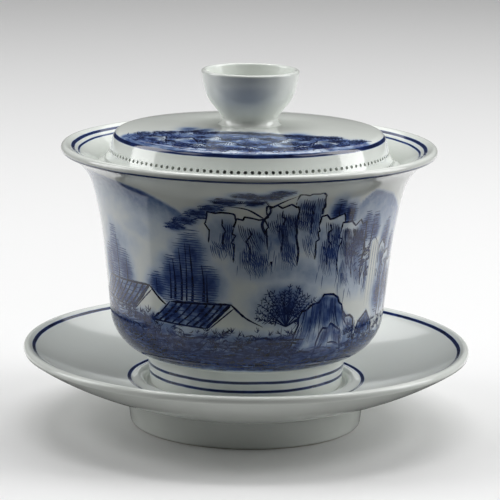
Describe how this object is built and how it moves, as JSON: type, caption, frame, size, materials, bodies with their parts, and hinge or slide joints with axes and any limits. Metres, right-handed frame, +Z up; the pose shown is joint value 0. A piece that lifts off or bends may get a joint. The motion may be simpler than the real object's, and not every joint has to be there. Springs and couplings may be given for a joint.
{
  "type": "gaiwan",
  "caption": "Glazed porcelain lidded tea bowl on a saucer, with a pierced filter lid, a cup knob and a blue painted landscape.",
  "frame": {"origin": "centre of the saucer's foot ring, on the surface that the gaiwan stands on", "axes": "+Z up along the axis that saucer, bowl and lid were turned about; X and Y level, all directions about Z alike except for the rings of holes"},
  "size_m": [0.1162, 0.1162, 0.0927],
  "materials": {
    "saucer_porcelain": "clear gloss glaze over white porcelain with blue lines, bare fired clay under the foot ring",
    "bowl_porcelain": "clear gloss glaze over a cobalt blue landscape, bare fired clay under the foot ring",
    "lid_porcelain": "clear gloss glaze over white porcelain with a cobalt blue landscape and line",
    "knob_porcelain": "clear gloss glaze over white porcelain"
  },
  "bodies": {
    "saucer": {"saucer": "saucer_porcelain"},
    "bowl": {"bowl": "bowl_porcelain"},
    "lid": {"lid": "lid_porcelain", "lid_knob": "knob_porcelain"}
  },
  "joints": [
    {"name": "bowl_lift", "type": "slide", "parent": "saucer", "child": "bowl", "axis": [0, 0, 1], "range_m": [0, 0.045]},
    {"name": "lid_lift", "type": "slide", "parent": "bowl", "child": "lid", "axis": [0, 0, 1], "range_m": [0, 0.045]}
  ]
}
